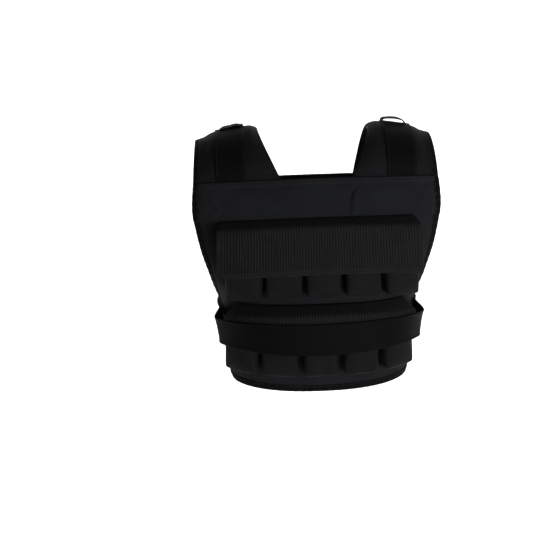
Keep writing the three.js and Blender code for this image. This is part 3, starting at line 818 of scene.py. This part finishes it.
def ribbed_flap(name, node, material, half, top, length, shift, seed):
    """Makes a flap of ribbed band over a row of pockets, and its stitches."""
    columns = round(2 * half / RIB_PITCH) * RIB_CELLS
    rows = round(length / FLAP_ROW)
    whole, falls, outs = flap_section(length, rows)

    def layout(x, y, z):
        across = x * half
        row = np.rint((1 - y) / 2 * rows).astype(int)
        fall, out = falls[row], outs[row]
        hanging = smoothstep(FLAP_ROOF_DROP, FLAP_ROOF_DROP + FLAP_HANGS_FROM, fall)
        in_gap = np.cos(2 * math.pi * (across - shift) / POCKET_PITCH + math.pi)
        soft = FLAP_DRAPE * swell(across, fall, FLAP_DRAPE_LENGTH, seed)
        drape = hanging * (soft - FLAP_SINK * in_gap * fall / length)
        folded = np.exp(-(((fall - FLAP_CREASE_FALL) / FLAP_CREASE_HALF) ** 2))
        drape -= FLAP_CREASE * smoothstep(-FLAP_CREASE_FADE, FLAP_CREASE_FADE, -across) * folded * hanging
        uneven = swell(across, np.zeros_like(across), FLAP_SAG_LENGTH, seed + 3)
        sag = FLAP_SAG * uneven * (fall / length) ** 2
        rib = RIB_DEPTH / 2 * np.cos(2 * math.pi * across / RIB_PITCH)
        rib *= RIB_ON_ROOF + (1 - RIB_ON_ROOF) * hanging
        rib *= 1 - RIB_UNEVEN + RIB_UNEVEN * swell(across, fall * 0.1, RIB_UNEVEN_LENGTH, seed + 5)
        hem = smoothstep(length - FLAP_HEM - 1, length - FLAP_HEM, fall)
        end = smoothstep(half - FLAP_HEM - 1, half - FLAP_HEM, np.abs(across))
        relief = rib * (1 - FLAP_HEM_PRESS * hem) + FLAP_HEM_RAISE * hem + FLAP_END_RAISE * end
        return across, top + fall + sag, out + drape, relief

    shape = flat_cloth(columns, rows)
    laid_on(shape, back_face, layout)
    flap = sewn(name, shape, material, "ribbed_band", node, wall=FLAP_CLOTH, offset=-1)
    seam = stand_out(back_face, np.linspace(-half, half, 200), np.full(200, top), FLAP_SEAM_OUT)
    shape = bmesh.new()
    for side in (-1, 1):
        fall = np.linspace(4, length - 2, 60)
        x = np.full(60, side * (1 - FLAP_END_STITCHES / half))
        y = 1 - 2 * np.interp(fall, falls, np.arange(rows + 1)) / rows
        across, drop, out, relief = layout(x, y, 0)
        stitch_on(shape, back_face, across, drop, out + relief + 0.2)
    y = np.full(200, 1 - 2 * (length - FLAP_HEM + FLAP_HEM_STITCHES) / length)
    across, drop, out, _ = layout(np.linspace(-0.985, 0.985, 200), y, 0)
    stitch_on(shape, back_face, across, drop, out + RIB_DEPTH / 2 + FLAP_HEM_RAISE)
    sewn(f"{name}_stitches", shape, thread, "ribbed_band")


def lengthwise_ribs(tree, across, down):
    """Fine threads between the band's ribs, which are in the mesh."""
    fine = waves(tree, across, RIB_PITCH / THREADS_IN_RIB)
    return reckon(tree, "MULTIPLY", waves(tree, down, BAND_WEFT), fine)


def ribbed_elastic(name, top, length):
    """Dull ribbed elastic, with painted shade between its ribs, and less of it on the plain hem at its foot.
    """
    material = black_nylon(
        name, FLAP_HEX, FLAP_SHADE_HEX, lengthwise_ribs, depth=0.1, patch=22, rough=0.8, sheen=0.015
    )
    tree = material.node_tree
    shader = tree.nodes["Principled BSDF"]
    tone = shader.inputs["Base Color"].links[0].from_socket
    across, down = on_cloth(tree)
    # Painted shade: the grooves between the ribs are mixed towards a darker colour as their shadow, fully at
    # their bottoms and not at all on the crests, and the pressed hem keeps only part of it.
    crest = waves(tree, reckon(tree, "ADD", across, RIB_PITCH / 4 * MM), RIB_PITCH)
    on_rib = add_node(tree, "ShaderNodeMapRange", {"Value": crest, "From Min": -1.0, "From Max": 0.3})
    foot = -(top + length - FLAP_HEM) * MM
    hem = {"From Min": foot, "From Max": foot + 2 * MM, "To Min": FLAP_HEM_SHADE, "To Max": 0.0}
    on_hem = add_node(tree, "ShaderNodeMapRange", {"Value": down, **hem})
    share = reckon(tree, "MAXIMUM", on_rib.outputs["Result"], on_hem.outputs["Result"])
    painted_groove_shade = {"Factor": share, 6: linear(GROOVE_PAINTED_SHADE_HEX), 7: tone}
    colour = add_node(tree, "ShaderNodeMix", painted_groove_shade, data_type="RGBA")
    tree.links.new(colour.outputs[2], shader.inputs["Base Color"])
    return material


for row_name, half, top, length, shift, seed in (
    ("upper", UPPER_FLAP_HALF, UPPER_FLAP_DROP, UPPER_FLAP_LENGTH, UPPER_ROW_SHIFT, 31),
    ("lower", LOWER_FLAP_HALF, LOWER_FLAP_DROP, LOWER_FLAP_LENGTH, LOWER_ROW_SHIFT, 41),
):
    ribbed = ribbed_elastic(f"{row_name}_ribbed_elastic", top, length)
    ribbed_flap(f"{row_name}_flap_band", f"{row_name}_flap", ribbed, half, top, length, shift, seed)

# The front panel and its tape
# Made as the back panel is, but plain: it has no pockets, its top is narrower between the shoulders and it
# ends higher. The belt holds it to the chest.
FRONT_TOP_DROP = 92
FRONT_HEM_DROP = 392
FRONT_HALF_WIDTH = 191
FRONT_CELLS = (90, 76)
FRONT_WIDTHS = (
    # share of the panel's height, share of its half width
    (0.0, 0.99),
    (0.25, 0.93),
    (0.5, 0.88),
    (0.68, 0.93),
    (0.85, 0.95),
    (1.0, 0.92),
)


def front_face(across, drop):
    """Points on the trunk's chest, by their distances from its middle and down."""
    return trunk_face(trunk_half(drop) + across, drop)


front = Panel(front_face, FRONT_TOP_DROP, FRONT_HEM_DROP, FRONT_HALF_WIDTH, FRONT_WIDTHS)
shape = flat_cloth(*FRONT_CELLS, thick=True)
laid_on(shape, front_face, front.layout)
front_panel = sewn("front_panel_padding", shape, cloth, "panel_cloth", "front_panel")
tape_round(front, np.zeros_like, "front_edge_tape", "front_binding")

# The shoulder pads
# Foam between two layers of smooth black nylon, sewn to the tops of both panels, arched over the shoulders.
# Rows of stitches near each seam hold the strap's ends, and the arm edge has the same tape as the panels.
STRAP_COLUMNS = 3
STRAP_COLUMN = 2
PAD_LAST_COLUMN = 8
NECK_HALF_AT_BACK = 55
NECK_HALF_AT_CREST = 90
NECK_HALF_AT_FRONT = 74
STRAP_INNER = 112
STRAP_WIDTH = 46
ARM_AT_CREST = 191
SHOULDER_FALL = 17
SHOULDER_ROUNDNESS = 0.35
PAD_HALF_LENGTH = 105
PAD_END = 0.997
PAD_LOFT = 5
PAD_LOFT_FROM_NECK = (-0.1, 1.2)
PAD_LOFT_TO_ARM = (5.2, 7.0)
PAD_LOFT_FROM_SEAM = 32
PAD_PINCH_AT_NECK = 0.35
PAD_PINCH_AT_ARM = 0.9
PAD_PINCH_AT_SEAM = 9
PAD_SOFT = 0.7
PAD_SOFT_LENGTH = 24
PAD_REACH = 0.55
PAD_SEAM_ROWS = (5, 9, 13)
PAD_SEAM_SINK = 0.9
PAD_SEAM_HALF = 1.5
PAD_SEAM_COLUMNS = ((0.35, 1.9), (5.1, 7.0))
PAD_CELLS = (56, 110)
PAD_WEAVE = 0.9
PAD_HEX = 0x1F2022
PAD_SHADE_HEX = 0x171819


def seam_end(panel):
    """How far the end of a panel's top edge lies from the middle."""
    top = np.array([float(panel.top)])
    return abs(panel.face(panel.half(top), top)[0, 0])


arm_at_back = seam_end(back)
arm_at_front = seam_end(front)


def pad_lines(neck, arm):
    """The x of the pad's columns from the neck edge to the arm edge: the strap's are in the middle."""
    strap = [STRAP_INNER + STRAP_WIDTH * i / STRAP_COLUMNS for i in range(STRAP_COLUMNS + 1)]
    taped = arm - TAPE_WIDTH
    return np.array([neck, (neck + STRAP_INNER) / 2, *strap, (strap[-1] + taped) / 2, taped, arm])


lines_at_back = pad_lines(NECK_HALF_AT_BACK, arm_at_back)
lines_at_crest = pad_lines(NECK_HALF_AT_CREST, ARM_AT_CREST)
lines_at_front = pad_lines(NECK_HALF_AT_FRONT, arm_at_front)


def between(values, at):
    """A value between a list's numbers, and beyond its ends."""
    low = np.clip(np.floor(at), 0, len(values) - 2).astype(int)
    return values[low] + (values[low + 1] - values[low]) * (at - low)


def trunk_depth(x, drop, in_front):
    """How far the trunk's face lies from the side line at a distance x from the middle."""
    width, back_share, front_share, square = smooth_table(TRUNK_LEVELS, drop / HEM_DROP).T
    depth = np.where(in_front, front_share * CHEST_DEPTH, -back_share * BACK_DEPTH)
    return depth * (1 - (x / (width * TRUNK_HALF_WIDTH)) ** square) ** (1 / square)


def shoulder_face(column, along):
    """Points on the right shoulder, by pad column and by along, from -1 at the back seam to 1 in front."""
    in_front = along > 0
    seam_x = np.where(in_front, between(lines_at_front, column), between(lines_at_back, column))
    back_drop = BACK_TOP_DROP + shoulder_sag(seam_x / arm_at_back, np.full_like(seam_x, BACK_TOP_DROP))
    seam_drop = np.where(in_front, FRONT_TOP_DROP, back_drop)
    crest_x = between(lines_at_crest, column)
    rise = 1 - np.abs(along)
    seam_y = trunk_depth(seam_x, seam_drop, in_front)
    lean = trunk_depth(seam_x, seam_drop - 1, in_front) - seam_y
    share = (crest_x - NECK_HALF_AT_CREST) / (ARM_AT_CREST - NECK_HALF_AT_CREST)
    crest_z = -SHOULDER_FALL * ((1 - SHOULDER_ROUNDNESS) * share + SHOULDER_ROUNDNESS * share * np.abs(share))
    climb = PAD_REACH * (crest_z + seam_drop)
    weights = ((1 - rise) ** 3, 3 * rise * (1 - rise) ** 2, 3 * rise**2 * (1 - rise), rise**3)
    y_points = (seam_y, seam_y + lean * climb, PAD_REACH * seam_y, 0 * seam_y)
    z_points = (-seam_drop, climb - seam_drop, crest_z, crest_z)
    y = sum(w * p for w, p in zip(weights, y_points))
    z = sum(w * p for w, p in zip(weights, z_points))
    x = seam_x + (crest_x - seam_x) * np.sin(math.pi / 2 * rise)
    return np.stack([x, y, z], axis=-1)


def on_shoulder(column, along, out):
    """Points that stand out from the shoulder, in millimetres."""
    return stand_out(shoulder_face, column, along, -np.asarray(out), steps=(0.25, 0.004))


def pad_fullness(column):
    """How much of its loft the pad has across its width."""
    return smoothstep(*PAD_LOFT_FROM_NECK, column) * (1 - smoothstep(*PAD_LOFT_TO_ARM, column))


def pad_thickness(column, along):
    """How thick the pad is: pinched at both seams and edges, and sewn down along the rows near its ends."""
    from_seam = (1 - np.abs(along)) * PAD_HALF_LENGTH
    full = pad_fullness(column) * smoothstep(0, PAD_LOFT_FROM_SEAM, from_seam)
    pinch = smoothstep(0, PAD_PINCH_AT_NECK, column)
    pinch = pinch * smoothstep(0, PAD_PINCH_AT_ARM, PAD_LAST_COLUMN - column)
    pinch = pinch * smoothstep(0, PAD_PINCH_AT_SEAM, from_seam)
    rows = sum(np.exp(-(((from_seam - at) / PAD_SEAM_HALF) ** 2)) for at in PAD_SEAM_ROWS)
    thick = EDGE_THICKNESS + (PANEL_THICKNESS - EDGE_THICKNESS) * pinch + PAD_LOFT * full
    return thick - PAD_SEAM_SINK * rows * pinch


def pad_top(column, along):
    """How far the pad's outer face stands out."""
    return (PANEL_THICKNESS - EDGE_THICKNESS) / 2 + pad_thickness(column, along)


def laid_on_shoulder(shape, side, place):
    """Moves a flat sheet's points on to a shoulder. place gives their column, along and out."""
    column, along, out = place(*points_of(shape).T)
    move_to(shape, on_shoulder(column, along, out) * (side, 1, 1))
    if side > 0:
        bmesh.ops.reverse_faces(shape, faces=shape.faces)
    keep_cut(shape, column * STRAP_WIDTH / STRAP_COLUMNS, along * PAD_HALF_LENGTH)


def stitch_on_shoulder(shape, side, column, along, out):
    """Adds a row of stitches along a line on a shoulder."""
    line = on_shoulder(column, along, out) * (side, 1, 1) * MM
    above = on_shoulder(column, along, out + 1) * (side, 1, 1) * MM
    stitch_row(shape, line, above - line)


def pad_place(x, y, z):
    """The pad's own points."""
    column, along = (x + 1) / 2 * PAD_LAST_COLUMN, y * PAD_END
    inner = (PANEL_THICKNESS - EDGE_THICKNESS) / 2 * (1 - pad_fullness(column))
    soft = PAD_SOFT * swell(column * 15, along * 100, PAD_SOFT_LENGTH, seed=7) * pad_fullness(column)
    return column, along, np.where(z > 0.5, pad_top(column, along) + soft, inner)


pad_cloth = black_nylon(
    "smooth_nylon_pad_cloth", PAD_HEX, PAD_SHADE_HEX, plain_weave(PAD_WEAVE),
    depth=0.08, patch=60, rough=0.74, sheen=0.01,
)
for name, side in (("right", 1), ("left", -1)):
    shape = flat_cloth(*PAD_CELLS, thick=True)
    laid_on_shoulder(shape, side, pad_place)
    pad = sewn(f"shoulder_pad_{name}_padding", shape, pad_cloth, "pad_cloth", f"shoulder_pad_{name}")
    shape = bmesh.new()
    for end in (-1, 1):
        for at in PAD_SEAM_ROWS:
            along = np.full(40, end * (1 - at / PAD_HALF_LENGTH))
            for first, last in PAD_SEAM_COLUMNS:
                column = np.linspace(first, last, 40)
                stitch_on_shoulder(shape, side, column, along, pad_top(column, along))
    sewn(f"shoulder_pad_{name}_stitches", shape, thread, "pad_cloth")

# The tape along the pads' arm edges
# The same folded grosgrain as on the panels, from the back seam over the shoulder to the front seam.
PAD_TAPE_ROWS = 110
PAD_TAPE_FACE = 5


def pad_tape_place(x, y, z):
    """The tape's points, with its section laid round the arm edge."""
    at = np.rint((x + 1) / 2 * (len(section_in) - 1)).astype(int)
    column = PAD_LAST_COLUMN - section_in[at] / TAPE_WIDTH
    along = y * PAD_END
    pucker = TAPE_PUCKER * np.sin(2 * math.pi * along * PAD_HALF_LENGTH / PUCKER_LENGTH)
    return column, along, section_out[at] + pucker * (section_out[at] > PAD_TAPE_FACE)


for name, side in (("right", 1), ("left", -1)):
    shape = flat_cloth(len(section_in) - 1, PAD_TAPE_ROWS)
    laid_on_shoulder(shape, side, pad_tape_place)
    sewn(f"pad_edge_tape_{name}", shape, tape, "edge_tape", f"pad_binding_{name}", wall=TAPE_THICKNESS)
    shape = bmesh.new()
    along = np.linspace(-PAD_END, PAD_END, 200)
    column = np.full(200, PAD_LAST_COLUMN - (TAPE_WIDTH - STITCH_IN) / TAPE_WIDTH)
    stitch_on_shoulder(shape, side, column, along, np.full(200, TAPE_TOP))
    sewn(f"pad_edge_tape_{name}_stitches", shape, thread, "edge_tape")

# The shoulder straps and their keepers
# A wide, dense nylon webbing lies along each pad from panel to panel, sewn down along its edges. On top of
# the shoulder a thin loop of narrower webbing stands over it, and the left loop is pressed almost flat.
STRAP_THICKNESS = 1.6
STRAP_EASE = 0.6
STRAP_EDGE = 0.35
STRAP_EDGE_FROM = (0.86, 0.93)
STRAP_STITCHES_AT = 0.9
STRAP_WEAVE = 1.6
STRAP_CELLS = (30, 110)
STRAP_HEX = 0x101011
STRAP_SHADE_HEX = 0x0C0C0D
STRAP_MIDDLE = STRAP_COLUMN + STRAP_COLUMNS / 2
KEEPER_WIDTH = 38
KEEPER_SHIFT = 4
KEEPER_LENGTH = 25
KEEPER_THICKNESS = 1.1
KEEPER_CELLS = (48, 14)
KEEPER_LUMP_LENGTH = 9


def strap_place(x, y, z):
    """The strap's points, flat on the pad."""
    column = STRAP_COLUMN + (x + 1) / 2 * STRAP_COLUMNS
    along = y * PAD_END
    edge = STRAP_EDGE * smoothstep(*STRAP_EDGE_FROM, np.abs(x))
    return column, along, pad_top(column, along) + STRAP_EASE + STRAP_THICKNESS / 2 + edge


crest = np.linspace(-0.05, 0.05, 2)
crest_pace = np.linalg.norm(np.diff(shoulder_face(np.full(2, STRAP_MIDDLE), crest), axis=0)) / 0.1
webbing = black_nylon(
    "nylon_strap_webbing", STRAP_HEX, STRAP_SHADE_HEX, plain_weave(STRAP_WEAVE),
    depth=0.2, patch=40, rough=0.7, sheen=0.02,
)
for name, side, keeper_height, keeper_lump in (("right", 1, 8, 0.5), ("left", -1, 3.6, 1.2)):
    shape = flat_cloth(*STRAP_CELLS)
    laid_on_shoulder(shape, side, strap_place)
    node = f"shoulder_strap_{name}"
    strap = sewn(f"{node}_webbing", shape, webbing, "strap_webbing", node, wall=STRAP_THICKNESS)
    strap_line = on_shoulder(*strap_place(np.zeros(200), np.linspace(-1, 1, 200), 0))
    shape = bmesh.new()
    for x in (-STRAP_STITCHES_AT, STRAP_STITCHES_AT):
        column, along, out = strap_place(np.full(160, x), np.linspace(-1, 1, 160), 0)
        stitch_on_shoulder(shape, side, column, along, out + STRAP_THICKNESS / 2)
    sewn(f"{node}_stitches", shape, thread, "strap_webbing")

    def keeper_place(x, y, z):
        """The keeper's points, in an arch over the strap."""
        turn = (x + 1) / 2 * math.pi
        rise = keeper_height * np.sin(turn) ** 0.6
        lump = keeper_lump * swell(turn * 12, y * 4, KEEPER_LUMP_LENGTH, 5 + side) * np.sin(turn)
        off_middle = -KEEPER_WIDTH / 2 * np.cos(turn) - KEEPER_SHIFT
        column = STRAP_MIDDLE + off_middle * STRAP_COLUMNS / STRAP_WIDTH
        along = KEEPER_LENGTH / crest_pace * y / 2
        foot = pad_top(np.full_like(x, STRAP_MIDDLE), along) + STRAP_EASE + STRAP_THICKNESS
        return column, along, foot - KEEPER_THICKNESS / 2 + rise + lump

    shape = flat_cloth(*KEEPER_CELLS)
    laid_on_shoulder(shape, side, keeper_place)
    node = f"strap_keeper_{name}"
    keeper = sewn(f"{node}_webbing", shape, webbing, "keeper_webbing", node, wall=KEEPER_THICKNESS)
    keeper_line = on_shoulder(*keeper_place(np.linspace(-1, 1, 100), np.zeros(100), 0))

# The belt
# One length of dense, smooth elastic webbing that goes round the vest over the lower flap and laps in front.
# It has a narrow, raised selvedge along both edges.
BELT_WIDTH = 50
BELT_THICKNESS = 2
BELT_LAP = 55
BELT_LAP_OUT = 3.2
BELT_LAP_FROM = (2, 1.2)
BELT_REACH_ON_SIDES = 9.9
BELT_REACH_OVER_FLAP = 39.6
BELT_RUN_OFF = 38
BELT_RISE = 7
BELT_RISE_LENGTH = 200
LOWER_ROW_HALF = 145.5
SELVEDGE = 2.2
SELVEDGE_RAISE = 0.35
SELVEDGE_STEP = 0.02
BELT_SOFT = 0.5
BELT_SOFT_LENGTH = 40
BELT_WEAVE = 1.5
BELT_CELLS = (420, 24)
BELT_HEX = 0x0C0C0D
BELT_SHADE_HEX = 0x080809

belt_half = float(trunk_half(BELT_DROP + BELT_WIDTH / 2))


def belt_layout(x, y, z):
    """Where the belt's webbing lies: out over the pockets, in on the sides, and lapped at the chest."""
    across = x * (belt_half + BELT_LAP)
    rise = BELT_RISE * smoothstep(0, BELT_RISE_LENGTH, np.abs(across))
    drop = BELT_DROP + BELT_WIDTH * (1 - y) / 2 - rise
    run_off = smoothstep(LOWER_ROW_HALF, LOWER_ROW_HALF + BELT_RUN_OFF, np.abs(across))
    reach = BELT_REACH_OVER_FLAP + (BELT_REACH_ON_SIDES - BELT_REACH_OVER_FLAP) * run_off
    lap_start, lap_end = (belt_half - share * BELT_LAP for share in BELT_LAP_FROM)
    lap = BELT_LAP_OUT * smoothstep(lap_start, lap_end, across)
    soft = BELT_SOFT * swell(across, drop, BELT_SOFT_LENGTH, seed=51)
    selvedge = 1 - 2 * SELVEDGE / BELT_WIDTH
    raised = SELVEDGE_RAISE * smoothstep(selvedge - SELVEDGE_STEP, selvedge, np.abs(y))
    out = reach + lap + soft + BELT_THICKNESS / 2 + raised
    return across * trunk_half(drop) / belt_half, drop, out, 0


belt_cloth = black_nylon(
    "smooth_elastic_webbing", BELT_HEX, BELT_SHADE_HEX, plain_weave(BELT_WEAVE),
    depth=0.1, patch=45, rough=0.62, sheen=0.02,
)
shape = flat_cloth(*BELT_CELLS)
laid_on(shape, trunk_face, belt_layout)
belt = sewn("belt_webbing", shape, belt_cloth, "belt_webbing", "belt", wall=BELT_THICKNESS)

# The floor, the light and the camera
# A pale, plain sweep far below and behind the vest, lit by two lights of its own. A third lights the vest
# softly from the camera's side and the right.
FLOOR_DROP = 900
FLOOR_REACH = 6000
BACKDROP_BEHIND = 1800
BACKDROP_HEIGHT = 5000
SWEEP_RADIUS = 700
SWEEP_STEPS = 38
FLOOR_ROUGHNESS = 0.9
FLOOR_HEX = 0xF2F2F2
WORLD_LIGHT = 0.1
CAMERA_PLACE = (-129.8, -2197.2, 296)
CAMERA_YAW = -1.59
CAMERA_PITCH = -13.81
CAMERA_ROLL = -1.8
CAMERA_LENS = 87.4
SENSOR_WIDTH = 36

floor = flat_cloth(1, SWEEP_STEPS + 2)
profile = [(-FLOOR_REACH, 0)]
for step in range(SWEEP_STEPS + 1):
    turn = math.pi / 2 * step / SWEEP_STEPS
    behind = BACKDROP_BEHIND - SWEEP_RADIUS * (1 - math.sin(turn))
    profile.append((behind, SWEEP_RADIUS * (1 - math.cos(turn))))
profile.append((BACKDROP_BEHIND, BACKDROP_HEIGHT))
for vert in floor.verts:
    y, z = profile[round((vert.co.y + 1) / 2 * (SWEEP_STEPS + 2))]
    vert.co = (vert.co.x * FLOOR_REACH * MM, y * MM, (z - FLOOR_DROP) * MM)
paper = bpy.data.materials.new("matt_paper")
paper.use_nodes = True
paper_shader = paper.node_tree.nodes["Principled BSDF"]
paper_shader.inputs["Base Color"].default_value = linear(FLOOR_HEX)
paper_shader.inputs["Roughness"].default_value = FLOOR_ROUGHNESS
smooth_mesh("floor", floor, paper)
floor.free()


def soft_light(name, place, aim, size, watts):
    """A square soft light that faces a point, with its places and size in metres."""
    light = bpy.data.lights.new(name, "AREA")
    light.shape = "SQUARE"
    light.size = size
    light.energy = watts
    lamp = put(name, light)
    lamp.location = place
    lamp.rotation_euler = (Vector(aim) - Vector(place)).to_track_quat("-Z", "Y").to_euler()


soft_light("front_light", place=(1.1, -2.6, -0.3), aim=(0, 0, -0.2), size=1.2, watts=42)
soft_light("backdrop_light_left", place=(-1.1, 0.3, 0.2), aim=(-0.8, 1.8, -0.2), size=1.4, watts=34)
soft_light("backdrop_light_right", place=(1.1, 0.3, 0.2), aim=(0.8, 1.8, -0.2), size=1.4, watts=50)
world = bpy.data.worlds.new("studio")
world.use_nodes = True
background = world.node_tree.nodes["Background"]
background.inputs["Color"].default_value = (1, 1, 1, 1)
background.inputs["Strength"].default_value = WORLD_LIGHT
bpy.context.scene.world = world
bpy.context.scene.view_settings.view_transform = "Standard"

lens = bpy.data.cameras.new("camera")
lens.lens = CAMERA_LENS
lens.sensor_width = SENSOR_WIDTH
camera = put("camera", lens)
camera.location = Vector(CAMERA_PLACE) * MM
yaw = Matrix.Rotation(math.radians(CAMERA_YAW), 4, "Z")
pitch = Matrix.Rotation(math.radians(90 + CAMERA_PITCH), 4, "X")
roll = Matrix.Rotation(math.radians(CAMERA_ROLL), 4, "Z")
camera.rotation_euler = (yaw @ pitch @ roll).to_euler()
bpy.context.scene.camera = camera
